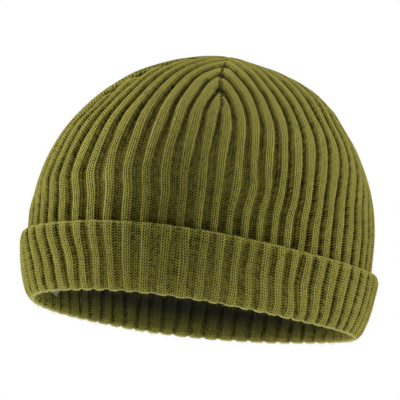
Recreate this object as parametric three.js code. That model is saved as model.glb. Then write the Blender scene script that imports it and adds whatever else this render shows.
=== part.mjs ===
// A ribbed watch cap with a turned-up cuff, in the shape it has on a head.
// Millimetres, +Z up. The origin is the middle of the rim opening, at the fold. The front is -Y.
// Crown and cuff are one knitted fabric: down from the crown, out and round at the rim, up to the hem.
import * as THREE from 'three';

// The knit
const RIBS = 60;
const PANELS = 4;
const FABRIC = 2.4;
const RIB_RELIEF = 1.0;
const COLUMNS_PER_RIB = 4;

// The oval of the head, at mid-height of the ribs
const WIDEST = { z: 48, halfWidth: 80.2, halfDepth: 102.1 };
const OVAL_SQUARENESS = 2.33;
const RIM_TAPER = { width: 4.7, depth: 5.8 };
const SADDLE = 1.2;

// The crown, and the four darts that close it. A dart starts in a valley, where the oval has shrunk to
// DART_START of its widest, and swerves clockwise by DART_SWERVE ribs on its way up.
const CROWN_TOP = 151;
const CROWN_LEAN_BACK = 7;
const PANEL_MIDDLE_RIB = 0.5;
const DART_START = 0.82;
const DART_GATHER = 0.84;
const DART_SWERVE = 0.5;
const SWERVE_BETWEEN = { low: 0.6, high: 0.84 };
const DART_DEPTH = 1.4;
const DART_SNAP = 0.12;

// The cuff. Behind it the pocket between cuff and crown is open at the hem and ends above the fold.
const HEM_Z = 35;
const POCKET_FLOOR_Z = 6;
const CUFF_MIDDLE_Z = 20;
const FOLD_EDGE_Z = 1.5;

// The label inside
const LABEL = { width: 16, length: 23, thickness: 0.8, tipZ: 8.5, around: 0.336, wallGap: 0.45 };

const OLIVE = 0x6b6a2c;
const LABEL_GREY = 0x8d8770;

// Rows of the outer crown, from under the cuff's hem to near the top: degrees up the dome
const OUTER_CROWN_DEGREES = [0, 14, 27, 39, 50, 60, 69, 77, 84];
const INNER_CROWN_DEGREES = [15, 35, 53, 69, 81];

// Rows of the cuff's outer face, from the hem down to the fold: oval at mid-height of the ribs
const CUFF_ROWS = [
  { z: HEM_Z - 1, halfWidth: 84.9, halfDepth: 105.7 },
  { z: CUFF_MIDDLE_Z, halfWidth: 83.4, halfDepth: 104.2 },
  { z: POCKET_FLOOR_Z, halfWidth: 79.8, halfDepth: 100.6 },
  { z: FOLD_EDGE_Z, halfWidth: 78.0, halfDepth: 98.8 },
];
const FOLD = { z: 0, halfWidth: 75.9, halfDepth: 96.7 };

// Unit directions round the oval, evenly spaced along its edge.
// Fraction 0 is the centre back, and fractions run anticlockwise seen from above.
const OVAL_STEPS = 1440;
const ovalTable = [];

function fillOvalTable() {
  let length = 0;
  for (let step = 0; step <= OVAL_STEPS; step += 1) {
    const angle = Math.PI / 2 + (2 * Math.PI * step) / OVAL_STEPS;
    const across = Math.abs(Math.cos(angle) / WIDEST.halfWidth) ** OVAL_SQUARENESS;
    const along = Math.abs(Math.sin(angle) / WIDEST.halfDepth) ** OVAL_SQUARENESS;
    const radius = (across + along) ** (-1 / OVAL_SQUARENESS);
    const x = radius * Math.cos(angle);
    const y = radius * Math.sin(angle);
    if (step > 0) {
      const last = ovalTable[step - 1];
      length += Math.hypot(x - last.x, y - last.y);
    }
    ovalTable.push({ x, y, length });
  }
}

fillOvalTable();
const OVAL_LENGTH = ovalTable[OVAL_STEPS].length;

function ovalDirection(fraction) {
  const wanted = (fraction - Math.floor(fraction)) * OVAL_LENGTH;
  let low = 0;
  let high = OVAL_STEPS;
  while (high - low > 1) {
    const middle = (low + high) >> 1;
    if (ovalTable[middle].length <= wanted) {
      low = middle;
    } else {
      high = middle;
    }
  }
  const from = ovalTable[low];
  const to = ovalTable[high];
  const part = (wanted - from.length) / (to.length - from.length);
  return {
    across: (from.x + (to.x - from.x) * part) / WIDEST.halfWidth,
    along: (from.y + (to.y - from.y) * part) / WIDEST.halfDepth,
  };
}

// Rings of the outer face at mid-height of the ribs. rise is the outward normal's upward share.
function bodyRing(z) {
  const drop = ((WIDEST.z - z) / WIDEST.z) ** 2;
  return {
    z,
    halfWidth: WIDEST.halfWidth - RIM_TAPER.width * drop,
    halfDepth: WIDEST.halfDepth - RIM_TAPER.depth * drop,
    centreY: 0,
    rise: 0,
    saddle: SADDLE,
    scale: 1,
  };
}

function domeRing(degrees) {
  const up = Math.sin(THREE.MathUtils.degToRad(degrees));
  const scale = Math.cos(THREE.MathUtils.degToRad(degrees));
  return {
    z: WIDEST.z + (CROWN_TOP - WIDEST.z) * up,
    halfWidth: WIDEST.halfWidth * scale,
    halfDepth: WIDEST.halfDepth * scale,
    centreY: CROWN_LEAN_BACK * up,
    rise: up / (CROWN_TOP - WIDEST.z),
    saddle: SADDLE * (1 - up),
    scale,
  };
}

function cuffRing(row) {
  return { ...row, centreY: 0, rise: 0, saddle: SADDLE, scale: 1 };
}

// A point of a ring, moved out along the fabric's normal by offset.
function ringPoint(ring, fraction, offset) {
  const { across, along } = ovalDirection(fraction);
  const normal = new THREE.Vector3(
    (across * ring.scale) / WIDEST.halfWidth,
    (along * ring.scale) / WIDEST.halfDepth,
    ring.rise,
  ).normalize();
  return new THREE.Vector3(
    ring.halfWidth * across + normal.x * offset,
    ring.centreY + ring.halfDepth * along + normal.y * offset,
    ring.z + ring.saddle * (2 * along * along - 1) + normal.z * offset,
  );
}

// Where a column stands on a ring. Above the darts' feet the ribs nearly keep their pitch, so the
// outer ones of each panel run into its two dart seams and end there.
const HALF_PANEL = RIBS / PANELS / 2;

function columnPlace(column, scale) {
  const rib = (column + 0.5) / COLUMNS_PER_RIB - PANEL_MIDDLE_RIB;
  const panel = Math.round(rib / (2 * HALF_PANEL));
  const fromMiddle = rib - panel * 2 * HALF_PANEL;
  const crowding = Math.max(1, (DART_START / scale) ** DART_GATHER);
  let place = fromMiddle * crowding;
  const onSeam = crowding > 1 && Math.abs(place) > HALF_PANEL - DART_SNAP;
  if (onSeam) {
    place = Math.sign(place) * HALF_PANEL;
  }
  const straight = THREE.MathUtils.smoothstep(scale, SWERVE_BETWEEN.low, SWERVE_BETWEEN.high);
  const swerved = place - DART_SWERVE * (1 - straight);
  return { fraction: (panel * 2 * HALF_PANEL + PANEL_MIDDLE_RIB + swerved) / RIBS, onSeam };
}

// Two columns of each rib are its ridge and two are the valley beside it.
function ribHeight(column) {
  const inRib = column % COLUMNS_PER_RIB;
  const isRidge = inRib === 1 || inRib === 2;
  return isRidge ? RIB_RELIEF : -RIB_RELIEF;
}

const COLUMNS = RIBS * COLUMNS_PER_RIB;

// side is 0 on the outer face and FABRIC on the inner one. ribs scales the relief: 1 as knitted,
// -1 on the cuff, which shows the fabric's reverse, and 0 where it is pressed flat.
function fabricRow(ring, side, ribs) {
  const points = [];
  for (let column = 0; column < COLUMNS; column += 1) {
    const { fraction, onSeam } = columnPlace(column, ring.scale);
    const height = onSeam ? -DART_DEPTH : ribHeight(column) * ribs;
    points.push(ringPoint(ring, fraction, height - side));
  }
  return points;
}

function topRow(side) {
  const top = new THREE.Vector3(0, CROWN_LEAN_BACK, CROWN_TOP - DART_DEPTH - side);
  return new Array(COLUMNS).fill(top);
}

// The fabric's section as rows, from the top of the crown outside, round the cuff, to the top inside.
function capRows() {
  const hemOuter = cuffRing(CUFF_ROWS[0]);
  const hemCrest = { ...hemOuter, z: HEM_Z };
  const outerCrown = OUTER_CROWN_DEGREES.map((degrees) => fabricRow(domeRing(degrees), 0, 1));
  const innerCrown = INNER_CROWN_DEGREES.map((degrees) => fabricRow(domeRing(degrees), FABRIC, 1));
  const cuffOuter = CUFF_ROWS.map((row) => fabricRow(cuffRing(row), 0, -1));
  return [
    topRow(0),
    ...outerCrown.reverse(),
    fabricRow(bodyRing(HEM_Z), 0, 1),
    fabricRow(bodyRing(POCKET_FLOOR_Z), 0, 0),
    fabricRow(hemOuter, FABRIC, 0),
    fabricRow(hemCrest, FABRIC / 2, -0.5),
    ...cuffOuter,
    fabricRow(cuffRing(FOLD), 0, 0),
    fabricRow(bodyRing(FOLD_EDGE_Z), FABRIC, 0.5),
    fabricRow(bodyRing(POCKET_FLOOR_Z), FABRIC, 1),
    fabricRow(bodyRing(CUFF_MIDDLE_Z), FABRIC, 1),
    fabricRow(bodyRing(HEM_Z), FABRIC, 1),
    ...innerCrown,
    topRow(FABRIC),
  ];
}

// Joins rows of equal length into one closed body. Points that coincide become one vertex, and the
// triangles that this flattens are left out.
const MERGE = 1e4;

function closedBody(rows) {
  const positions = [];
  const known = new Map();
  const vertexOf = (point) => {
    const key = [point.x, point.y, point.z].map((value) => Math.round(value * MERGE)).join(' ');
    if (!known.has(key)) {
      known.set(key, positions.length / 3);
      positions.push(point.x, point.y, point.z);
    }
    return known.get(key);
  };
  const grid = rows.map((row) => row.map(vertexOf));
  const triangles = [];
  const addTriangle = (a, b, c) => {
    if (a !== b && b !== c && c !== a) {
      triangles.push(a, b, c);
    }
  };
  for (let r = 0; r < rows.length - 1; r += 1) {
    const upper = grid[r];
    const lower = grid[r + 1];
    for (let c = 0; c < upper.length; c += 1) {
      const next = (c + 1) % upper.length;
      addTriangle(upper[c], lower[c], lower[next]);
      addTriangle(upper[c], lower[next], upper[next]);
    }
  }
  const geometry = new THREE.BufferGeometry();
  geometry.setAttribute('position', new THREE.Float32BufferAttribute(positions, 3));
  geometry.setIndex(triangles);
  geometry.computeVertexNormals();
  return geometry;
}

function makeKnitCap() {
  const material = new THREE.MeshStandardMaterial({ color: OLIVE, roughness: 0.95, metalness: 0 });
  const mesh = new THREE.Mesh(closedBody(capRows()), material);
  mesh.name = 'knit_cap';
  return mesh;
}

// The label is a folded tape that lies against the inside wall, on the inner tops of the ribs.
const LABEL_COLUMNS = 5;
const LABEL_ROWS = 6;

function labelSection(z) {
  const wallFace = -(FABRIC + RIB_RELIEF + LABEL.wallGap);
  const section = [];
  for (const depth of [0, LABEL.thickness]) {
    const outward = depth === 0;
    for (let i = 0; i < LABEL_COLUMNS; i += 1) {
      const across = (outward ? i : LABEL_COLUMNS - 1 - i) / (LABEL_COLUMNS - 1) - 0.5;
      const fraction = LABEL.around + (across * LABEL.width) / OVAL_LENGTH;
      section.push(ringPoint(bodyRing(z), fraction, wallFace - depth));
    }
  }
  return section;
}

function labelRows() {
  const rows = [];
  for (let i = 0; i < LABEL_ROWS; i += 1) {
    rows.push(labelSection(LABEL.tipZ + LABEL.length * (1 - i / (LABEL_ROWS - 1))));
  }
  const capPoint = (row) => {
    const middle = new THREE.Vector3();
    row.forEach((point) => middle.addScaledVector(point, 1 / row.length));
    return new Array(row.length).fill(middle);
  };
  return [capPoint(rows[0]), ...rows, capPoint(rows[LABEL_ROWS - 1])];
}

function makeLabel() {
  const material = new THREE.MeshStandardMaterial({ color: LABEL_GREY, roughness: 0.8, metalness: 0 });
  const mesh = new THREE.Mesh(closedBody(labelRows()), material);
  mesh.name = 'label';
  return mesh;
}

const cap = new THREE.Group();
cap.add(makeKnitCap(), makeLabel());

export default cap;
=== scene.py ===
# A ribbed watch cap with a turned-up cuff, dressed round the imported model.
# Sizes are in millimetres up to the meshes, which are in metres. +Z is up and the front is -Y.
import math

import bpy
import numpy as np
from mathutils import Matrix, Vector


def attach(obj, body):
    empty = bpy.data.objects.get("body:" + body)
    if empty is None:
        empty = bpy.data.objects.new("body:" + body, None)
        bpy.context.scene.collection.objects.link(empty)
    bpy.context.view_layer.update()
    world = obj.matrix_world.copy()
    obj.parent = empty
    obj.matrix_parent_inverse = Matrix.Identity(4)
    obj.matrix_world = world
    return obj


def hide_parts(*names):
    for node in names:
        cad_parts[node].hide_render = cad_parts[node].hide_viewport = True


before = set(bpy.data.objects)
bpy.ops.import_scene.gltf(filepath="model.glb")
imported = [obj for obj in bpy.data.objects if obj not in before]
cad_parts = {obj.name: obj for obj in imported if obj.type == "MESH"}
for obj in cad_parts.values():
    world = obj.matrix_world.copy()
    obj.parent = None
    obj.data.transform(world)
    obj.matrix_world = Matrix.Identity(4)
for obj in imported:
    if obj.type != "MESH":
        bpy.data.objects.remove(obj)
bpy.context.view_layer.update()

MM = 0.001
rng = np.random.default_rng(4107)

# The knit. A rib is a ridge of two wales and a valley of two, and each wale shows two legs of yarn.
RIBS = 60
WALES = 4
LEGS = 2 * WALES
FABRIC = 2.4
COURSE = 1.47
LEG_LEAN = 0.52

# The relief of the ribs, and their half widths and side walls as parts of a rib
RIDGE_TOP = 0.85
CROWN_RELIEF = 1.35
CUFF_RELIEF = 1.2
OPEN_RELIEF = 0.85
CLOSE_RELIEF = 0.2
LEG_RELIEF = 0.16
LEG_MIDDLE = 0.6
LEG_IN_VALLEY = 0.35
RIDGE_HALF = 0.262
RIDGE_HALF_CLOSE = 0.38
EASY_WIDTH = 0.85
SIDE_WALL = 0.085
CREST = 0.3

# Up the crown the ridges get rounder, from the first scale of the oval to the second
ROUNDER_SCALES = (0.97, 0.6)
ROUNDER_WIDTH = 0.7
ROUNDER_WALL = 0.7
ROUNDER_CREST = 0.4

# The head's oval, at mid-height of the ribs
WIDEST_Z = 48.0
HALF_WIDTH = 80.2
HALF_DEPTH = 102.1
SQUARENESS = 2.33
TAPER_WIDTH = 4.7
TAPER_DEPTH = 5.8
SADDLE = 1.2
OVAL_STEPS = 1440

# The crown. Four darts part it into two wide panels and two narrow ones between them, and each half
# turn is a wide panel and then a narrow one. A panel starts to lose ribs where the oval has shrunk to
# its start, and loses so many a side for each part of the scale.
CROWN_TOP = 149.8
LEAN_BACK = 7.0
HALF_TURN = RIBS / 2
FIRST_DART = 8
WIDE_HALF = 10.0
WIDE_START = 0.85
WIDE_RATE = 8.0
NARROW_HALF = 5.0
NARROW_START = 0.83
NARROW_RATE = 8.6
MOST_RIBS_NEAR_TOP = 21.0
FEWEST_RIBS = 0.3

# The darts: how they start, where they swerve, how their ribs arch over to meet, and their groove
DART_ONSET = 0.04
DART_SWERVE = 0.5
SWERVE_SCALES = (0.6, 0.84)
ARCH_SPREAD = 0.42
ARCH_REACH = 0.6
DART_DEPTH = 1.5
DART_BLEND = 1.0
DART_FADE_SCALES = (0.40, 0.56)
DART_RISE_INSIDE = 0.9

# Beside a seam the ribs don't wander: how near it, in ribs, and how many ribs the panel has lost by
# then. The groove and the arch are full once it has lost so many, and the arch fades with so few left.
STILL_NEAR_SEAM = 1.5
STILL_BY = 0.3
GROOVE_BY = 0.4
ARCH_BY = 1.5
ARCH_FADES = 3.0

# Hills round the cap, in ribs, or up it, in millimetres: each starts, is full, starts to end and ends.
# A pair is a slope, from its start to its end. First how the crown's ribs drift, in ribs: a fan at the
# front left, a pull back at the right, and bunching above the cuff.
FAN = -0.6
FAN_RIBS = (18, 26, 29.5, 34.5)
FAN_HEIGHTS = (46, 64, 92, 112)
PULL = 2.2
PULL_RIBS = (40, 51, 51, 58)
PULL_SLOPE = (62, 112)
PULL_EASING = 0.5
PULL_EASING_SLOPE = (126, 145)
BUNCH = -0.28
BUNCH_RIBS = (28, 33, 49, 54)
BUNCH_MIDDLE = 38.7
BUNCH_SPACING = 9.1
BUNCH_SLOPE = (50, 66)

# How the cuff's ribs drift
CUFF_PULL = -0.45
CUFF_PULL_RIBS = (37, 43, 45, 51)
CUFF_PULL_SLOPE = (2, 20)
CUFF_FAN = 0.65
CUFF_FAN_RIBS = (20, 27, 28, 36)
CUFF_FAN_SLOPE = (12, 34)

# Where the ribs lie open, where they close up, the fuller shoulder at the right of the crown, and how
# the crown's fabric is pressed flat in the pocket behind the cuff
OPEN_RIBS = (28.5, 34.5, 41, 46)
CLOSE_BACK_RIBS = (40, 45, 56, 60)
CLOSE_BACK_SLOPE = (46, 76)
CLOSE_TOP_SLOPE = (70, 102)
SHOULDER = 2.2
SHOULDER_RIBS = (43, 49.5, 50, 57)
SHOULDER_HEIGHTS = (113, 127, 133, 150)
POCKET_SLOPE = (6, 24)

# Unevenness: how far apart its values lie up the fabric, how far it moves a rib, in ribs, and its height
UNEVEN_STEP = 17.0
CROWN_STEPS = 16
TURNED_STEPS = 20
WANDER = 0.045
UNEVEN_HEIGHT = 0.16

# Columns of the mesh for each leg of yarn, on a ridge and in a valley
RIDGE_COLUMNS = 4
VALLEY_COLUMNS = 2

# The crown's rows, in degrees up the dome and then in heights down the body. TOP_LIFT is the length
# along the fabric from the row next to the top to the top.
STEEP_ROWS = np.arange(87.5, 30, -1.3)
LOW_ROWS = np.arange(29, 0, -1.9)
BODY_ROWS = [45.5, 43, 40.5, 38, 36, 34, 31, 26, 18, 6]
TOP_LIFT = 3.0

# The cuff, from the pocket's floor over the hem to inside the fold. The columns are the height, the
# oval's two half sizes, and the rows of the mesh from there to the next point.
CUFF_PATH = np.array([
    (6.0, 77.2, 98.2, 2),
    (13.0, 79.4, 100.4, 2),
    (20.0, 80.9, 101.7, 2),
    (28.0, 82.0, 102.8, 2),
    (33.4, 82.5, 103.3, 2),
    (34.9, 83.0, 103.8, 2),
    (35.4, 83.8, 104.6, 2),
    (34.8, 84.7, 105.5, 2),
    (33.4, 84.8, 105.6, 4),
    (28.0, 84.2, 105.0, 6),
    (20.0, 83.0, 103.8, 6),
    (12.0, 81.3, 102.1, 5),
    (6.0, 79.5, 100.3, 4),
    (2.6, 78.3, 99.1, 4),
    (0.5, 77.1, 97.9, 4),
    (-0.2, 75.7, 96.6, 4),
    (0.6, 74.3, 95.2, 3),
    (2.6, 73.6, 94.5, 3),
    (6.0, 74.2, 95.2, 3),
    (10.0, 74.9, 96.0, 0),
])
# The inside's rows, in heights up the body and then in degrees up the dome
INSIDE_BODY_ROWS = [13, 16, 20, 24, 28, 33, 38, 43]
INSIDE_DOME_ROWS = np.concatenate([np.arange(0, 38, 3.0), np.arange(38, 88, 2.2)])
# Rows before the end of the cuff's path: where the drift starts to change from the cuff's to the
# crown's, over so many millimetres, and where cuff_knit ends and inside_knit starts
DRIFT_CHANGES = 6
DRIFT_CHANGE_LENGTH = 20.0
CUFF_ENDS = 4
# Up the inside, the way out of the knit turns from square to its path to straight into the hollow
WAY_TURNS = (12, 30)

# How high the cuff's ribs stand: little inside the hem, fully past it, and less again at the fold
HEM_SHOWN = 0.12
HEM_SLOPE = (-3.0, 0.5)
PAST_HEM_SLOPE = (0.8, 5.0)
FOLD_PRESS = 0.7
FOLD_PRESS_WIDTH = 3.5

# Painted highlight along the hem and along the fold, where the yarn catches more light: how much, how far
# past it, and how wide
HEM_LIGHT = 0.22
HEM_LIGHT_BAND = (-0.2, 0.8)
FOLD_LIGHT_BAND = (0.1, 1.0)

# Loose fibres: how many, and how long
CROWN_FUZZ = 9000
CUFF_FUZZ = 4500
FOLD_FUZZ = 1800
STRAY_HAIRS = 26
FUZZ_LENGTH = (0.5, 1.7)
STRAY_LENGTH = (2.5, 6.0)
# How thick they are at the root, what is left of that half way along, how deep the root sits, how much
# they lean and bend, and above what height they stand on the crown
FUZZ_RADIUS = 0.028
FUZZ_TAPER = 0.8
FUZZ_ROOT = 0.15
FUZZ_SPREAD = 0.55
FUZZ_BEND = 0.45
FUZZ_FROM_Z = 34
# Rows of the cuff with loose fibres, beyond the hem and on both sides of the fold
FUZZ_BEFORE_HEM = 1
FUZZ_BEFORE_FOLD = 2
FUZZ_PAST_FOLD = 3

# The label, a tape folded at its lower end, which hangs to a point. Its place is in ribs. Each layer's
# rows start at LABEL_FLAT, a part of the tape's length, and the fold's rows stand so far up that length
# and so far out, as parts of LABEL_LAYER.
LABEL_WIDTH = 16.0
LABEL_LENGTH = 23.0
LABEL_TIP_Z = 6.5
LABEL_RISE_LEFT = 6.0
LABEL_RISE_RIGHT = 2.0
LABEL_PLACE = 20.48
LABEL_DEPTH = 4.9
LABEL_LAYER = 0.25
LABEL_CURL = 0.5
LABEL_CURL_TURN = 9
LABEL_COLUMNS = 17
LABEL_ROWS = 14
LABEL_FLAT = 0.04
LABEL_FOLD_UP = [0.012, 0, 0.012]
LABEL_FOLD_OUT = [0.8, 0, -0.8]
TAPE_WARPS = 40
TAPE_WEFTS = 120

# Colours: the yarn from the painted shade in the holes between stitches to the ridges, a painted
# highlight on an edge, and painted shade up the hollow
KNIT_DARK = (0.010, 0.010, 0.005, 1)
KNIT_MIDDLE = (0.105, 0.097, 0.021, 1)
KNIT_BRIGHT = (0.400, 0.366, 0.070, 1)
KNIT_PAINTED_HIGHLIGHT = (0.680, 0.650, 0.260, 1)
KNIT_PAINTED_SHADE = (0.038, 0.041, 0.030, 1)
KNIT_SHEEN = (0.70, 0.64, 0.18, 1)
FUZZ_COLOUR = (0.46, 0.43, 0.13, 1)
TAPE_LIGHT = (0.74, 0.70, 0.55, 1)
TAPE_DARK = (0.44, 0.41, 0.31, 1)
FLOOR_COLOUR = (0.86, 0.86, 0.85, 1)
WHITE = (1, 1, 1, 1)

# In metres, as the shaders read it: the heights between which the painted shade in the hollow gets dark,
# the depth of the bump, and in turns a metre the scale of each noise
DARK_HEIGHTS = (0.002, 0.017)
STITCH_DEPTH = 0.00050
FIBRE_DEPTH = 0.00012
WEAVE_DEPTH = 0.0002
FIBRE_NOISE = 2000.0
DRIFT_NOISE = 600.0
BLOTCH_NOISE = 500.0
SLOW_NOISE = 90.0
PATCH_NOISE = 30.0

# The floor, well below the camera, which looks up a little into the rim. It fades away with distance.
FLOOR_Z = -0.30
FLOOR_HALF = 9
FLOOR_FADE = (0.45, 1.15)

# The camera, as the photograph was taken
TARGET = Vector((0, 0, 0.065))
CAMERA_AZIMUTH = math.radians(45.3)
CAMERA_ELEVATION = math.radians(-9.95)
CAMERA_ROLL = math.radians(5.67)
CAMERA_DISTANCE = 1.2484
FOCAL_PIXELS = 2207.0
FRAME_PIXELS = 400
TARGET_RIGHT_PIXELS = 7.16
TARGET_DOWN_PIXELS = 5.9
SENSOR_WIDTH = 36.0
LEVEL_RIGHT = Vector((math.cos(CAMERA_AZIMUTH), math.sin(CAMERA_AZIMUTH), 0))
LEVEL_BACK = Vector((-math.sin(CAMERA_AZIMUTH), math.cos(CAMERA_AZIMUTH), 0))

# Soft studio lights: name, place right, up and back of the object as the camera sees it, and watts
LIGHT_SIZE = (0.9, 1.2)
LIGHTS = [
    ("left", (-1.5, 0.40, 0.16), 26),
    ("right", (1.5, 0.50, 0.12), 22),
    ("top", (-0.2, 1.6, 0.2), 26),
]
AMBIENT_SLOPE = (-0.25, 0.6)
AMBIENT_BELOW = 0.03
AMBIENT_ABOVE = 0.10


# Smooth step from 0 to 1
def smooth(value, low=0.0, high=1.0):
    part = np.clip((value - low) / (high - low), 0.0, 1.0)
    return part * part * (3 - 2 * part)


# A hill from 0 to 1 and back to 0
def hill(value, low, high, ends, done):
    return smooth(value, low, high) * (1 - smooth(value, ends, done))


def bell(value, middle, width):
    return np.exp(-(((value - middle) / width) ** 2))


def oval_table():
    angle = math.pi / 2 + np.linspace(0, 2 * math.pi, OVAL_STEPS + 1)
    across = np.abs(np.cos(angle) / HALF_WIDTH) ** SQUARENESS
    along = np.abs(np.sin(angle) / HALF_DEPTH) ** SQUARENESS
    radius = (across + along) ** (-1 / SQUARENESS)
    x = radius * np.cos(angle)
    y = radius * np.sin(angle)
    length = np.concatenate([[0], np.cumsum(np.hypot(np.diff(x), np.diff(y)))])
    return x, y, length


OVAL_X, OVAL_Y, OVAL_LENGTHS = oval_table()
OVAL_LENGTH = OVAL_LENGTHS[-1]
RIB_PITCH = OVAL_LENGTH / RIBS


# Unit directions round the oval. Rib 0 is the centre back, and ribs count anticlockwise from above.
def oval_direction(rib):
    wanted = np.mod(rib / RIBS, 1.0) * OVAL_LENGTH
    across = np.interp(wanted, OVAL_LENGTHS, OVAL_X) / HALF_WIDTH
    along = np.interp(wanted, OVAL_LENGTHS, OVAL_Y) / HALF_DEPTH
    return across, along


# Below its widest height the oval gets smaller towards the rim
def body_drop(z):
    return ((WIDEST_Z - z) / WIDEST_Z) ** 2


# One ring for each row: height, half sizes, centre, the normal's rise, the saddle and the scale
def upright_rings(z, half_width, half_depth):
    same = np.ones_like(z)
    return {
        "z": z,
        "half_width": half_width,
        "half_depth": half_depth,
        "centre": 0 * same,
        "rise": 0 * same,
        "saddle": SADDLE * same,
        "scale": same,
    }


def body_rings(z):
    z = np.asarray(z, float)
    drop = body_drop(z)
    return upright_rings(z, HALF_WIDTH - TAPER_WIDTH * drop, HALF_DEPTH - TAPER_DEPTH * drop)


def dome_rings(degrees):
    up = np.sin(np.radians(degrees))
    scale = np.cos(np.radians(degrees))
    height = CROWN_TOP - WIDEST_Z
    return {
        "z": WIDEST_Z + height * up,
        "half_width": HALF_WIDTH * scale,
        "half_depth": HALF_DEPTH * scale,
        "centre": LEAN_BACK * up,
        "rise": up / height,
        "saddle": SADDLE * (1 - up),
        "scale": scale,
    }


def joined(*parts):
    return {key: np.concatenate([part[key] for part in parts]) for key in parts[0]}


# Slow, seeded unevenness: one value for every half rib and every step up the fabric, smoothly joined
class Unevenness:
    def __init__(self, steps):
        self.values = rng.normal(size=(steps, 2 * RIBS))

    def at(self, rib, step):
        column = np.mod(rib, RIBS) * 2
        low_column = np.floor(column).astype(int)
        low_step = np.clip(np.floor(step).astype(int), 0, len(self.values) - 2)
        across = smooth(column - low_column)
        along = smooth(step - low_step)
        left = low_column % (2 * RIBS)
        right = (low_column + 1) % (2 * RIBS)
        low = self.values[low_step, left] * (1 - across) + self.values[low_step, right] * across
        high = self.values[low_step + 1, left] * (1 - across) + self.values[low_step + 1, right] * across
        return low * (1 - along) + high * along


# How many ribs each side of its middle a panel still has, at each scale
def ribs_left(scale, half, start, rate):
    past = np.clip(start - scale + DART_ONSET, 0.0, 2 * DART_ONSET) ** 2 / (4 * DART_ONSET)
    return half - rate * np.maximum(past, start - scale)


# The cap sits a little unevenly: how far each rib lies off its even place, in ribs. The crown fans out
# to the front left, pulls back at the right, and bunches a little above the cuff.
def crown_drift(rib, z):
    rib = np.mod(rib[None, :] - FIRST_DART, RIBS) + FIRST_DART
    z = z[:, None]
    front = FAN * hill(rib, *FAN_RIBS) * hill(z, *FAN_HEIGHTS)
    side = PULL * hill(rib, *PULL_RIBS) * smooth(z, *PULL_SLOPE)
    side *= 1 - PULL_EASING * smooth(z, *PULL_EASING_SLOPE)
    bunched = BUNCH * np.sin(math.pi * (rib - BUNCH_MIDDLE) / BUNCH_SPACING) * hill(rib, *BUNCH_RIBS)
    return front + side + bunched * (1 - smooth(z, *BUNCH_SLOPE))


def cuff_drift(rib, z):
    rib = np.mod(rib[None, :] - FIRST_DART, RIBS) + FIRST_DART
    z = z[:, None]
    side = CUFF_PULL * hill(rib, *CUFF_PULL_RIBS) * smooth(z, *CUFF_PULL_SLOPE)
    front = CUFF_FAN * hill(rib, *CUFF_FAN_RIBS) * (1 - smooth(z, *CUFF_FAN_SLOPE))
    return side + front


# How far the ribs near a seam move in from it. They arch over to meet the ribs of the next panel.
def arch_shift(left, lost, moved):
    inside = (left - np.abs(moved)) / np.maximum(left, 1e-3)
    arch = ARCH_SPREAD * smooth(lost, 0.0, ARCH_BY) * smooth(left, 0.0, ARCH_FADES)
    spread = 1 - np.exp(-inside * left / ARCH_REACH) - inside * (1 - np.exp(-left / ARCH_REACH))
    return -np.sign(moved) * arch * spread


# Where each column stands on each row. The ribs of a panel keep one pitch, and its outer ones run into
# the dart seams and end there.
def place_columns(rib, scale, drift, wander):
    scale = np.maximum(scale[:, None], 1e-4)
    narrow = np.maximum(ribs_left(scale, NARROW_HALF, NARROW_START, NARROW_RATE), 0.0)
    wide = ribs_left(scale, WIDE_HALF, WIDE_START, WIDE_RATE)
    wide = np.minimum(wide, np.maximum(MOST_RIBS_NEAR_TOP * scale, FEWEST_RIBS))
    crowding = (WIDE_HALF + NARROW_HALF) / (wide + narrow)
    swerve = DART_SWERVE * (1 - smooth(scale, *SWERVE_SCALES))
    half_turn = np.floor((rib[None, :] - FIRST_DART) / HALF_TURN)
    first = FIRST_DART + HALF_TURN * half_turn
    within = rib[None, :] - first
    in_wide = within < 2 * WIDE_HALF
    panel_middle = np.where(in_wide, WIDE_HALF, HALF_TURN - NARROW_HALF)
    left = np.where(in_wide, wide, narrow)
    lost = np.where(in_wide, WIDE_HALF, NARROW_HALF) - left
    from_middle = within - panel_middle
    near_seam = 1 - smooth(left - np.abs(from_middle), 0.0, STILL_NEAR_SEAM)
    shift = drift + wander * (1 - near_seam * smooth(lost, 0.0, STILL_BY))
    limit = np.where(lost > 0, left, RIBS)
    moved = np.clip(from_middle + shift / crowding, -limit, limit)
    place_middle = np.where(in_wide, wide * crowding, HALF_TURN - narrow * crowding)
    place = first - swerve + place_middle + (moved + arch_shift(left, lost, moved)) * crowding
    on_rib = first + panel_middle + moved - shift / crowding
    from_seam = (left - np.abs(moved)) * crowding * RIB_PITCH * scale
    seam = (1 - smooth(from_seam, 0.0, DART_BLEND)) * smooth(lost, 0.0, GROOVE_BY)
    seam = seam * smooth(scale, *DART_FADE_SCALES)
    return place, on_rib, seam


# The ribs lie open and shallow over the ear, and stand closer and deeper towards the front
def openness(place):
    return hill(np.mod(place, RIBS), *OPEN_RIBS)


# Up the crown and towards its back the ribs close up over their valleys
def closeness(place, z):
    towards_back = hill(np.mod(place, RIBS), *CLOSE_BACK_RIBS) * smooth(z, *CLOSE_BACK_SLOPE)[:, None]
    return np.maximum(towards_back, smooth(z, *CLOSE_TOP_SLOPE)[:, None])


# How much wider than its valleys a ridge is, from 0 to 1
def ridge_width(place, close):
    return np.maximum(close, EASY_WIDTH * (1 - openness(place)))


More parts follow.
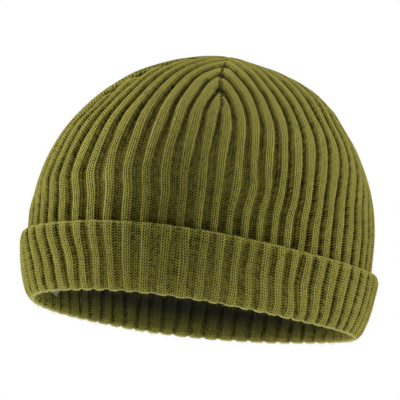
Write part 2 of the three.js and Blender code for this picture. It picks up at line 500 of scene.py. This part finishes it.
# Height of the knit above the oval: flat-topped ridges, steep sides, and a groove between legs.
# Ridges are centred on the half ribs.
def knit_height(rib, place, scale, relief, close):
    from_ridge = np.abs(np.mod(rib, 1.0) - 0.5)
    rounder = smooth(scale, *ROUNDER_SCALES)[:, None]
    relief = relief * (1 - (1 - OPEN_RELIEF) * openness(place) * (1 - close) + CLOSE_RELIEF * close)
    wide = np.maximum(ridge_width(place, close), ROUNDER_WIDTH * rounder)
    half = RIDGE_HALF + (RIDGE_HALF_CLOSE - RIDGE_HALF) * wide
    wall = SIDE_WALL * (1 + ROUNDER_WALL * rounder)
    ridge = 1 - smooth(from_ridge, half - wall, half + wall)
    crest = 1 - (from_ridge / half) ** 2
    leg = np.abs(np.sin(np.pi * LEGS * rib)) - LEG_MIDDLE
    height = RIDGE_TOP - 2 * relief * (1 - ridge)
    height = height + (CREST + ROUNDER_CREST * rounder) * ridge * (crest - rounder)
    return height + LEG_RELIEF * leg * (LEG_IN_VALLEY + (1 - LEG_IN_VALLEY) * ridge)


def ring_points(rings, place):
    across, along = oval_direction(place)
    column = {key: value[:, None] for key, value in rings.items()}
    points = np.stack([
        column["half_width"] * across,
        column["centre"] + column["half_depth"] * along,
        column["z"] + column["saddle"] * (2 * along**2 - 1),
    ], axis=-1)
    normals = np.stack([
        column["scale"] * across / HALF_WIDTH,
        column["scale"] * along / HALF_DEPTH,
        column["rise"] + 0 * across,
    ], axis=-1)
    return points, normals / np.linalg.norm(normals, axis=-1, keepdims=True)


# The ribs of all columns, closer on a ridge than in a valley. ridge_at is where a ridge is in its rib.
def rib_columns(ridge_at):
    ridge = np.arange(LEGS / 4, 3 * LEGS / 4, 1 / RIDGE_COLUMNS)
    valley = np.arange(3 * LEGS / 4, 5 * LEGS / 4, 1 / VALLEY_COLUMNS)
    legs = np.concatenate([ridge, valley]) / LEGS - 0.5 + ridge_at
    columns = (np.arange(RIBS)[:, None] + legs[None, :]).ravel()
    return np.append(columns, columns[0] + RIBS)


# Smooth curve through a short table of points
def through(table, samples_each):
    before = np.vstack([2 * table[0] - table[1], table[:-1]])
    after = np.vstack([table[1:], 2 * table[-1] - table[-2]])
    slope = (after - before) / 2
    rows = []
    for i, samples in enumerate(samples_each):
        part = (np.arange(samples) / samples)[:, None]
        square, cube = part**2, part**3
        rows.append(
            (2 * cube - 3 * square + 1) * table[i]
            + (cube - 2 * square + part) * slope[i]
            + (3 * square - 2 * cube) * table[i + 1]
            + (cube - square) * slope[i + 1]
        )
    rows.append(table[-1:])
    return np.vstack(rows)


# Length along the fabric of each row, from the first
def run_length(rings, rib):
    points, _ = ring_points(rings, rib[None, :] + 0 * rings["z"][:, None])
    step = np.linalg.norm(np.diff(points, axis=0), axis=-1).mean(axis=1)
    return np.concatenate([[0], np.cumsum(step)])


# The point at the top, once for each column
def top_point(z, columns):
    return np.broadcast_to(np.array([0, LEAN_BACK, z]), (1, columns, 3))


# The outer face of the crown, from the top down into the pocket behind the cuff. It gives the points,
# the rib that each is on, the length along the fabric of each row, how wide the ridges are, and the
# painted light and shade. That is from 0 to 1 a painted highlight on an edge, from 0 to -1 painted shade
# for how closely the ridges hide their valleys, and from -1 to -2 painted shade for how near a dart's
# seam is.
def crown_surface():
    degrees = np.concatenate([STEEP_ROWS, LOW_ROWS, [0]])
    rings = joined(dome_rings(degrees), body_rings(BODY_ROWS))
    rib = rib_columns(0.5)
    lift = run_length(rings, rib)
    step = (lift / UNEVEN_STEP)[:, None] + 0 * rib[None, :]
    spread = rib[None, :] + 0 * step
    wander = WANDER * Unevenness(CROWN_STEPS).at(spread, step)
    drift = crown_drift(rib, rings["z"])
    place, on_rib, seam = place_columns(rib, rings["scale"], drift, wander)
    points, normals = ring_points(rings, place)
    close = closeness(place, rings["z"])
    height = knit_height(on_rib, place, rings["scale"], CROWN_RELIEF, close)
    height = height * (1 - seam) - DART_DEPTH * seam
    height += SHOULDER * hill(place, *SHOULDER_RIBS) * hill(rings["z"], *SHOULDER_HEIGHTS)[:, None]
    pressed = smooth(rings["z"], *POCKET_SLOPE)[:, None]
    height = height * pressed
    height += UNEVEN_HEIGHT * Unevenness(CROWN_STEPS).at(spread, step) * (1 - seam) * pressed
    points = points + normals * height[..., None]
    points = np.concatenate([top_point(CROWN_TOP - DART_DEPTH, len(rib)), points])
    on_rib = np.concatenate([on_rib[:1], on_rib])
    lift = np.concatenate([[-TOP_LIFT], lift])
    wide = ridge_width(place, close)
    wide = np.concatenate([wide[:1], wide])
    # Painted shade where the ridges hide their valleys and near a dart's seam
    painted_light_and_shade = -(close * (1 - seam) + 2 * seam)
    painted_light_and_shade = np.concatenate([painted_light_and_shade[:1], painted_light_and_shade])
    return points, on_rib, lift, wide, painted_light_and_shade


# The cuff and the inside are the fabric's reverse, so their ridges are the crown's valleys. It gives
# the same for them, and then the rows of the cuff's end, of the hem and of the fold.
def turned_surface():
    path = through(CUFF_PATH[:, :3], CUFF_PATH[:-1, 3].astype(int))
    cuff = upright_rings(*path.T)
    rings = joined(cuff, body_rings(INSIDE_BODY_ROWS), dome_rings(INSIDE_DOME_ROWS))
    rib = rib_columns(0.0)
    on_cuff = np.arange(len(rings["z"])) < len(path)
    lift = run_length(rings, rib)
    step = (lift / UNEVEN_STEP)[:, None] + 0 * rib[None, :]
    spread = rib[None, :] + 0 * step
    wander = WANDER * Unevenness(TURNED_STEPS).at(spread, step)
    turned = smooth(lift - lift[len(path) - DRIFT_CHANGES], 0.0, DRIFT_CHANGE_LENGTH)[:, None]
    drift = cuff_drift(rib, rings["z"]) * (1 - turned) + crown_drift(rib, rings["z"]) * turned
    place, on_rib, seam = place_columns(rib, rings["scale"], drift, wander)
    points, outward = ring_points(rings, place)
    points = np.where(on_cuff[:, None, None], points, points - outward * FABRIC)
    normals = turned_normals(points, outward, rings["z"], on_cuff)
    height = knit_height(on_rib + 0.5, place, rings["scale"], CUFF_RELIEF, 0.0)
    height = height * (1 - seam) + DART_RISE_INSIDE * seam
    hem_row = int(np.argmax(path[:, 0]))
    fold_row = int(np.argmin(path[:, 0]))
    past_hem = lift - lift[hem_row]
    past_fold = lift - lift[fold_row]
    shown = HEM_SHOWN * smooth(past_hem, *HEM_SLOPE) + (1 - HEM_SHOWN) * smooth(past_hem, *PAST_HEM_SLOPE)
    shown *= 1 - FOLD_PRESS * bell(past_fold, 0.0, FOLD_PRESS_WIDTH)
    shown = shown[:, None]
    height = height * shown
    height += UNEVEN_HEIGHT * Unevenness(TURNED_STEPS).at(spread, step) * shown
    points = points + normals * height[..., None]
    points = np.concatenate([points, top_point(CROWN_TOP - DART_DEPTH - FABRIC, len(rib))])
    on_rib = np.concatenate([on_rib, on_rib[-1:]])
    wide = ridge_width(place, 0.0)
    wide = np.concatenate([wide, wide[-1:]])
    # Painted highlight along the hem and along the fold
    painted_light_and_shade = HEM_LIGHT * bell(past_hem, *HEM_LIGHT_BAND) + bell(past_fold, *FOLD_LIGHT_BAND)
    painted_light_and_shade = np.append(painted_light_and_shade, 0.0)[:, None] + 0 * on_rib
    lift = np.append(lift, lift[-1] + TOP_LIFT)
    return (points, on_rib + 0.5, lift, wide, painted_light_and_shade), len(path) - CUFF_ENDS, hem_row, fold_row


# The way out of the reverse face: square to the path on the cuff, and into the hollow further up
def turned_normals(points, outward, z, on_cuff):
    inward = -outward
    along_rows = np.gradient(points, axis=0)
    ahead = np.stack([-outward[..., 1], outward[..., 0], 0 * outward[..., 2]], axis=-1)
    across = np.cross(ahead, along_rows)
    across /= np.maximum(np.linalg.norm(across, axis=-1, keepdims=True), 1e-9)
    across *= np.sign((across * inward)[~on_cuff].sum())
    join = smooth(z, *WAY_TURNS)[:, None, None] * (~on_cuff)[:, None, None]
    normals = across * (1 - join) + inward * join
    return normals / np.linalg.norm(normals, axis=-1, keepdims=True)


# The tape from the top of its front, down to the fold and up its back
def label_surface():
    across = np.linspace(-0.5, 0.5, LABEL_COLUMNS)
    flat = np.linspace(1, LABEL_FLAT, LABEL_ROWS)
    down = np.concatenate([flat, LABEL_FOLD_UP, flat[::-1]])
    layer = np.concatenate([np.ones(LABEL_ROWS), LABEL_FOLD_OUT, -np.ones(LABEL_ROWS)])
    low = LABEL_TIP_Z + 2 * np.where(across > 0, LABEL_RISE_RIGHT * across, -LABEL_RISE_LEFT * across)
    z = low[None, :] + (LABEL_TIP_Z + LABEL_LENGTH - low[None, :]) * down[:, None]
    place = LABEL_PLACE + across * LABEL_WIDTH / RIB_PITCH
    curl = LABEL_CURL * np.sin(across * LABEL_CURL_TURN)[None, :] * (1 - down[:, None])
    inward = LABEL_DEPTH + LABEL_LAYER * layer[:, None] + curl
    unit_x, unit_y = oval_direction(place)
    drop = body_drop(z)
    x = (HALF_WIDTH - TAPER_WIDTH * drop - inward) * unit_x[None, :]
    y = (HALF_DEPTH - TAPER_DEPTH * drop - inward) * unit_y[None, :]
    return np.stack([x, y, z], axis=-1)


# Triangles of a grid of rows, with points that coincide made one vertex
class Grid:
    def __init__(self, points):
        rows, columns = points.shape[:2]
        keys = np.round(points.reshape(-1, 3) * 1e4).astype(np.int64)
        _, first, vertex = np.unique(keys, axis=0, return_index=True, return_inverse=True)
        vertex = vertex.reshape(-1)
        corner = np.arange(rows * columns).reshape(rows, columns)
        upper, lower = corner[:-1, :-1].ravel(), corner[1:, :-1].ravel()
        upper_next, lower_next = corner[:-1, 1:].ravel(), corner[1:, 1:].ravel()
        corners = np.concatenate([
            np.stack([upper, lower, lower_next], axis=-1),
            np.stack([upper, lower_next, upper_next], axis=-1),
        ])
        row = np.concatenate([upper // columns] * 2)
        a, b, c = vertex[corners].T
        good = (a != b) & (b != c) & (c != a)
        self.positions = points.reshape(-1, 3)[first]
        self.faces = vertex[corners][good]
        self.corners = corners[good]
        self.row = row[good]
        self.normals = vertex_normals(self.positions, self.faces)


def vertex_normals(positions, faces):
    a, b, c = (positions[faces[:, i]] for i in range(3))
    across = np.cross(b - a, c - a)
    normals = np.zeros_like(positions)
    for i in range(3):
        np.add.at(normals, faces[:, i], across)
    return normals / np.maximum(np.linalg.norm(normals, axis=1, keepdims=True), 1e-12)


def triangle_piece(name, vertices, triangles, material):
    mesh = bpy.data.meshes.new(name)
    mesh.vertices.add(len(vertices))
    mesh.vertices.foreach_set("co", (vertices * MM).astype(np.float32).ravel())
    mesh.loops.add(triangles.size)
    mesh.loops.foreach_set("vertex_index", triangles.astype(np.int32).ravel())
    mesh.polygons.add(len(triangles))
    mesh.polygons.foreach_set("loop_start", np.arange(0, triangles.size, 3, dtype=np.int32))
    mesh.update(calc_edges=True)
    mesh.materials.append(material)
    piece = bpy.data.objects.new(name, mesh)
    bpy.context.scene.collection.objects.link(piece)
    return piece


# The chosen triangles of a grid as a smooth piece. Each layer has one pair for each point of the grid.
def grid_piece(name, grid, chosen, layers, material):
    used, local = np.unique(grid.faces[chosen], return_inverse=True)
    piece = triangle_piece(name, grid.positions[used], local.reshape(-1, 3), material)
    mesh = piece.data
    for layer_name, values in layers.items():
        layer = mesh.uv_layers.new(name=layer_name)
        layer.uv.foreach_set("vector", values[grid.corners[chosen]].astype(np.float32).ravel())
    mesh.polygons.foreach_set("use_smooth", np.ones(len(mesh.polygons), bool))
    mesh.normals_split_custom_set_from_vertices(grid.normals[used].tolist())
    return piece


def dress(piece, slot, *nodes):
    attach(piece, "root")
    if nodes:
        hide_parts(*nodes)


# Node building in one line each
class Nodes:
    def __init__(self, tree):
        self.tree = tree

    def add(self, kind, inputs=(), **settings):
        node = self.tree.nodes.new(kind)
        for key, value in settings.items():
            setattr(node, key, value)
        for socket, value in dict(inputs).items():
            self.join(node.inputs[socket], value)
        return node

    def join(self, socket, value):
        if isinstance(value, bpy.types.NodeSocket):
            self.tree.links.new(value, socket)
        else:
            socket.default_value = value

    def math(self, operation, a, b=0.0, c=0.0, clamp=False):
        node = self.add("ShaderNodeMath", {0: a, 1: b, 2: c}, operation=operation, use_clamp=clamp)
        return node.outputs[0]

    def product(self, a, b):
        return self.math("MULTIPLY", a, b)

    def total(self, a, b, clamp=False):
        return self.math("ADD", a, b, clamp=clamp)

    # a * factor + offset
    def line(self, a, factor, offset):
        return self.math("MULTIPLY_ADD", a, factor, offset)

    def ramp(self, value, low, high, to_low=0.0, to_high=1.0):
        inputs = {"Value": value, "From Min": low, "From Max": high, "To Min": to_low, "To Max": to_high}
        return self.add("ShaderNodeMapRange", inputs, interpolation_type="SMOOTHSTEP").outputs[0]

    def mix(self, share, a, b):
        node = self.add("ShaderNodeMix", data_type="RGBA")
        self.join(node.inputs["Factor"], share)
        self.join(node.inputs["A"], a)
        self.join(node.inputs["B"], b)
        return node.outputs["Result"]

    def noise(self, vector, scale, detail=2.0):
        inputs = {"Vector": vector, "Scale": scale, "Detail": detail}
        return self.add("ShaderNodeTexNoise", inputs).outputs["Fac"]

    def split(self, vector):
        return self.add("ShaderNodeSeparateXYZ", {0: vector}).outputs

    def uv(self, layer_name):
        return self.split(self.add("ShaderNodeUVMap", uv_map=layer_name).outputs[0])

    def place(self):
        return self.add("ShaderNodeTexCoord").outputs["Object"]

    def surface(self, inputs):
        shader = self.add("ShaderNodeBsdfPrincipled", inputs)
        self.add("ShaderNodeOutputMaterial", {"Surface": shader.outputs[0]})


def new_material(name):
    material = bpy.data.materials.new(name)
    material.use_nodes = True
    material.node_tree.nodes.clear()
    return material, Nodes(material.node_tree)


# How bright the yarn is, with painted light and shade, and how high it stands, from the stitches and how
# the ribs lie
def yarn(n, place):
    across, along, _ = n.uv("stitches")
    wide, painted_light_and_shade, _ = n.uv("shading")
    # Above 0 a painted highlight, below 0 painted shade in closed valleys and in a dart's seam
    edge = n.math("MAXIMUM", painted_light_and_shade, 0.0)
    below = n.math("MAXIMUM", n.product(painted_light_and_shade, -1.0), 0.0)
    close = n.math("MINIMUM", below, 1.0)
    in_seam = n.math("SUBTRACT", below, close)
    # Yarn never lies quite evenly
    drift = n.math("SUBTRACT", n.noise(place, DRIFT_NOISE), 0.5)
    slow = n.math("SUBTRACT", n.noise(place, SLOW_NOISE), 0.5)
    wale = n.total(across, n.product(drift, 0.12))
    course = n.total(n.total(along, n.product(drift, 0.3)), slow)
    # 0 at the edge of a wale, 1 at its middle, and a leg of yarn between the two
    in_wale = n.product(n.math("PINGPONG", wale, 0.5), 2.0)
    off_leg = n.math("ABSOLUTE", n.line(in_wale, 2.0, -1.0))
    between_legs = n.ramp(off_leg, 0.15, 0.8)
    # 1 on a ridge and 0 in a valley
    in_rib = n.math("FRACT", n.math("DIVIDE", across, WALES))
    from_ridge = n.math("ABSOLUTE", n.math("SUBTRACT", in_rib, 0.5))
    ridge = n.ramp(n.line(wide, -0.10, from_ridge), 0.32, 0.25)
    valley = n.math("SUBTRACT", 1.0, ridge)
    # Each leg leans, so the holes between a ridge's legs are staggered, and a valley's legs zigzag
    lean = n.line(in_wale, LEG_LEAN, course)
    wave = n.line(n.math("SINE", n.product(lean, 2 * math.pi)), 0.5, 0.5)
    # The holes between the legs are painted dark, as painted shade
    hole = n.product(between_legs, n.line(wave, -0.75, 1.0))
    face = n.product(n.math("SUBTRACT", 1.0, hole), n.line(wave, 0.35, 0.65))
    back = n.line(between_legs, -0.4, n.line(wave, 0.6, 0.57))
    stitch = n.total(n.product(face, ridge), n.product(back, valley))
    # Each leg of yarn has its own tone
    leg_number = {0: n.math("FLOOR", n.product(wale, 2.0)), 1: n.math("FLOOR", lean)}
    cell = n.add("ShaderNodeCombineXYZ", leg_number).outputs[0]
    tone = n.add("ShaderNodeTexWhiteNoise", {"Vector": cell}, noise_dimensions="2D").outputs["Value"]
    fibre = n.noise(place, FIBRE_NOISE, 3.0)
    # Painted shade: darker in the valleys, in the crease where a ridge meets its valley, and in a dart's
    # seam
    crease = n.product(n.ramp(from_ridge, 0.24, 0.31), n.ramp(from_ridge, 0.40, 0.33))
    shade = n.product(stitch, n.line(ridge, 0.14, 0.86))
    shade = n.product(shade, n.line(crease, -0.25, 1.0))
    shade = n.product(shade, n.line(n.product(close, valley), -0.4, 1.0))
    shade = n.product(shade, n.line(in_seam, -0.7, 1.0))
    # Painted highlight on the outer legs of a ridge, which stand a little proud
    outer_leg_highlight = n.product(n.ramp(from_ridge, 0.15, 0.2), n.ramp(from_ridge, 0.27, 0.22))
    shade = n.total(shade, n.product(outer_leg_highlight, 0.16))
    shade = n.total(shade, n.line(tone, 0.36, -0.18))
    shade = n.total(shade, n.line(fibre, 0.4, -0.2))
    shade = n.total(shade, n.line(n.noise(place, PATCH_NOISE, 4.0), 0.12, -0.06), clamp=True)
    height = n.total(n.product(stitch, STITCH_DEPTH), n.product(fibre, FIBRE_DEPTH))
    return shade, edge, height


# painted_hollow_shade is True for the inside, whose knit has painted shade that gets darker up the hollow
def knit_material(name, painted_hollow_shade=False):
    material, n = new_material(name)
    place = n.place()
    shade, edge, height = yarn(n, place)
    low = n.mix(n.ramp(shade, 0.04, 0.36), KNIT_DARK, KNIT_MIDDLE)
    colour = n.mix(n.ramp(shade, 0.28, 0.72), low, KNIT_BRIGHT)
    # Painted highlight along the hem and the fold
    colour = n.mix(n.product(edge, 0.9), colour, KNIT_PAINTED_HIGHLIGHT)
    if painted_hollow_shade:
        # Painted shade, darkening the inside knit up the hollow
        colour = n.mix(n.ramp(n.split(place)[2], *DARK_HEIGHTS), colour, KNIT_PAINTED_SHADE)
    bump = n.add("ShaderNodeBump", {"Strength": 0.8, "Distance": 1.0, "Height": height})
    n.surface({
        "Base Color": colour,
        "Roughness": 0.95,
        "Specular IOR Level": 0.06,
        "Sheen Weight": 0.3,
        "Sheen Roughness": 0.5,
        "Sheen Tint": KNIT_SHEEN,
        "Normal": bump.outputs[0],
    })
    return material


# Plain woven tape
def tape_material():
    material, n = new_material("label_tape")
    across, along, _ = n.uv("stitches")
    warp = n.math("SINE", n.product(across, 2 * math.pi * TAPE_WARPS))
    weft = n.math("SINE", n.product(along, 2 * math.pi * TAPE_WEFTS))
    weave = n.line(n.product(warp, weft), 0.5, 0.5)
    blotch = n.noise(n.place(), BLOTCH_NOISE)
    shade = n.total(n.product(weave, 0.5), n.product(blotch, 0.5))
    bump = n.add("ShaderNodeBump", {"Strength": 0.4, "Distance": WEAVE_DEPTH, "Height": weave})
    n.surface({
        "Base Color": n.mix(shade, TAPE_DARK, TAPE_LIGHT),
        "Roughness": 0.75,
        "Specular IOR Level": 0.2,
        "Normal": bump.outputs[0],
    })
    return material


# Loose fibres are finer and paler than the yarn
def fuzz_material():
    material, n = new_material("olive_fuzz")
    n.surface({"Base Color": FUZZ_COLOUR, "Roughness": 0.9, "Specular IOR Level": 0.1})
    return material


# Curved, tapering three-sided fibres at random places on the chosen faces, all in one mesh
def fuzz_on(grid, chosen, name, count, length):
    faces = grid.faces[chosen]
    a, b, c = (grid.positions[faces[:, i]] for i in range(3))
    area = np.linalg.norm(np.cross(b - a, c - a), axis=1)
    corner = faces[rng.choice(len(faces), count, p=area / area.sum())]
    share = rng.dirichlet((1, 1, 1), count)[..., None]
    root = (grid.positions[corner] * share).sum(axis=1)
    out = (grid.normals[corner] * share).sum(axis=1)
    way = out / np.linalg.norm(out, axis=1, keepdims=True) + rng.normal(size=(count, 3)) * FUZZ_SPREAD
    bend = rng.normal(size=(count, 3)) * FUZZ_BEND
    reach = rng.uniform(*length, size=(count, 1))
    middle = root + reach * (0.5 * way + 0.25 * bend)
    tip = root + reach * (way + bend)
    along = (tip - root) / np.linalg.norm(tip - root, axis=1, keepdims=True)
    side = np.cross(along, rng.normal(size=(count, 3)))
    side *= FUZZ_RADIUS / np.linalg.norm(side, axis=1, keepdims=True)
    third = np.cross(along, side)
    turns = [2 * math.pi * i / 3 for i in range(3)]
    around = [side * math.cos(turn) + third * math.sin(turn) for turn in turns]
    low_ring = [root - FUZZ_ROOT * way + offset for offset in around]
    middle_ring = [middle + FUZZ_TAPER * offset for offset in around]
    vertices = np.stack(low_ring + middle_ring + [tip], axis=1)
    sides = [(i, (i + 1) % 3) for i in range(3)]
    pattern = [(i, j, j + 3) for i, j in sides]
    pattern += [(i, j + 3, i + 3) for i, j in sides]
    pattern += [(i + 3, j + 3, 6) for i, j in sides]
    triangles = np.array(pattern)[None] + vertices.shape[1] * np.arange(count)[:, None, None]
    piece = triangle_piece(name, vertices.reshape(-1, 3), triangles.reshape(-1, 3), fuzz)
    dress(piece, "olive_knit")


# The two layers that the knit's shader reads. courses is 1 or -1, as the stitches point.
def knit_layers(on_rib, lift, wide, painted_light_and_shade, courses):
    along = courses * lift[:, None] / COURSE + 0 * on_rib
    return {
        "stitches": np.stack([on_rib * WALES, along], axis=-1).reshape(-1, 2),
        "shading": np.stack([wide, painted_light_and_shade], axis=-1).reshape(-1, 2),
    }


def make_crown():
    points, *per_point = crown_surface()
    grid = Grid(points)
    everywhere = np.ones(len(grid.faces), bool)
    piece = grid_piece("crown_knit", grid, everywhere, knit_layers(*per_point, courses=-1), knit)
    dress(piece, "olive_knit", "knit_cap")
    in_sight = grid.positions[grid.faces].mean(axis=1)[:, 2] > FUZZ_FROM_Z
    fuzz_on(grid, in_sight, "crown_fuzz", CROWN_FUZZ, FUZZ_LENGTH)


def make_cuff_and_inside():
    (points, *per_point), cuff_end, hem_row, fold_row = turned_surface()
    grid = Grid(points)
    layers = knit_layers(*per_point, courses=1)
    parts = (("cuff_knit", grid.row < cuff_end, knit), ("inside_knit", grid.row >= cuff_end, inside_knit))
    for name, chosen, material in parts:
        dress(grid_piece(name, grid, chosen, layers, material), "olive_knit", "knit_cap")
    before_end = grid.row < fold_row + FUZZ_PAST_FOLD
    outer_face = (grid.row >= hem_row - FUZZ_BEFORE_HEM) & before_end
    at_fold = (grid.row >= fold_row - FUZZ_BEFORE_FOLD) & before_end
    fuzz_on(grid, outer_face, "cuff_fuzz", CUFF_FUZZ, FUZZ_LENGTH)
    fuzz_on(grid, at_fold, "fold_fuzz", FOLD_FUZZ, FUZZ_LENGTH)
    fuzz_on(grid, at_fold, "stray_hairs", STRAY_HAIRS, STRAY_LENGTH)


# A bare tape folded over at its lower end, against the inner wall
def make_label():
    points = label_surface()
    rows, columns = points.shape[:2]
    grid = Grid(points)
    everywhere = np.ones(len(grid.faces), bool)
    uv = np.stack(np.meshgrid(np.linspace(0, 1, columns), np.linspace(0, 1, rows)), axis=-1)
    label = grid_piece("label_tape", grid, everywhere, {"stitches": uv.reshape(-1, 2)}, tape_material())
    dress(label, "label_tape", "label")


def make_floor():
    mesh = bpy.data.meshes.new("floor")
    corners = [(x * FLOOR_HALF, y * FLOOR_HALF, FLOOR_Z) for x, y in ((-1, -1), (1, -1), (1, 1), (-1, 1))]
    mesh.from_pydata(corners, [], [(0, 1, 2, 3)])
    floor = bpy.data.objects.new("floor", mesh)
    bpy.context.scene.collection.objects.link(floor)
    material, n = new_material("pale_floor")
    shader = n.add("ShaderNodeBsdfPrincipled", {"Base Color": FLOOR_COLOUR, "Roughness": 0.9})
    from_middle = n.add("ShaderNodeVectorMath", {0: n.place()}, operation="LENGTH").outputs["Value"]
    clear = n.add("ShaderNodeBsdfTransparent")
    inputs = {0: n.ramp(from_middle, *FLOOR_FADE), 1: shader.outputs[0], 2: clear.outputs[0]}
    surface = n.add("ShaderNodeMixShader", inputs)
    n.add("ShaderNodeOutputMaterial", {"Surface": surface.outputs[0]})
    mesh.materials.append(material)


def make_camera():
    back = Vector((
        math.sin(CAMERA_AZIMUTH) * math.cos(CAMERA_ELEVATION),
        -math.cos(CAMERA_AZIMUTH) * math.cos(CAMERA_ELEVATION),
        math.sin(CAMERA_ELEVATION),
    ))
    level_up = back.cross(LEVEL_RIGHT)
    right = LEVEL_RIGHT * math.cos(CAMERA_ROLL) + level_up * math.sin(CAMERA_ROLL)
    up = level_up * math.cos(CAMERA_ROLL) - LEVEL_RIGHT * math.sin(CAMERA_ROLL)
    per_pixel = CAMERA_DISTANCE / FOCAL_PIXELS
    data = bpy.data.cameras.new("camera")
    data.sensor_width = SENSOR_WIDTH
    data.lens = FOCAL_PIXELS / FRAME_PIXELS * SENSOR_WIDTH
    camera = bpy.data.objects.new("camera", data)
    bpy.context.scene.collection.objects.link(camera)
    location = TARGET + back * CAMERA_DISTANCE
    location += (up * TARGET_DOWN_PIXELS - right * TARGET_RIGHT_PIXELS) * per_pixel
    camera.matrix_world = Matrix.Translation(location) @ Matrix((right, up, back)).transposed().to_4x4()
    bpy.context.scene.camera = camera


def make_light(name, place, watts):
    data = bpy.data.lights.new(name, "AREA")
    data.shape = "RECTANGLE"
    data.size, data.size_y = LIGHT_SIZE
    data.energy = watts
    light = bpy.data.objects.new(name, data)
    bpy.context.scene.collection.objects.link(light)
    across, above, behind = place
    light.location = TARGET + LEVEL_RIGHT * across + Vector((0, 0, above)) + LEVEL_BACK * behind
    light.rotation_mode = "QUATERNION"
    light.rotation_quaternion = (light.location - TARGET).to_track_quat("Z", "Y")


# White behind everything, and a faint light from all round that is weaker from below
def make_surround():
    world = bpy.data.worlds.new("studio")
    world.use_nodes = True
    world.node_tree.nodes.clear()
    n = Nodes(world.node_tree)
    seen = n.add("ShaderNodeLightPath").outputs["Is Camera Ray"]
    white = n.add("ShaderNodeBackground", {"Color": WHITE, "Strength": 1.0})
    way_up = n.split(n.add("ShaderNodeTexCoord").outputs["Generated"])[2]
    strength = n.ramp(way_up, *AMBIENT_SLOPE, AMBIENT_BELOW, AMBIENT_ABOVE)
    ambient = n.add("ShaderNodeBackground", {"Color": WHITE, "Strength": strength})
    surround = n.add("ShaderNodeMixShader", {0: seen, 1: ambient.outputs[0], 2: white.outputs[0]})
    n.add("ShaderNodeOutputWorld", {"Surface": surround.outputs[0]})
    bpy.context.scene.world = world
    bpy.context.scene.view_settings.view_transform = "Standard"


fuzz = fuzz_material()
knit = knit_material("olive_knit")
inside_knit = knit_material("olive_knit_inside", painted_hollow_shade=True)
make_crown()
make_cuff_and_inside()
make_label()
make_floor()
make_camera()
for light in LIGHTS:
    make_light(*light)
make_surround()
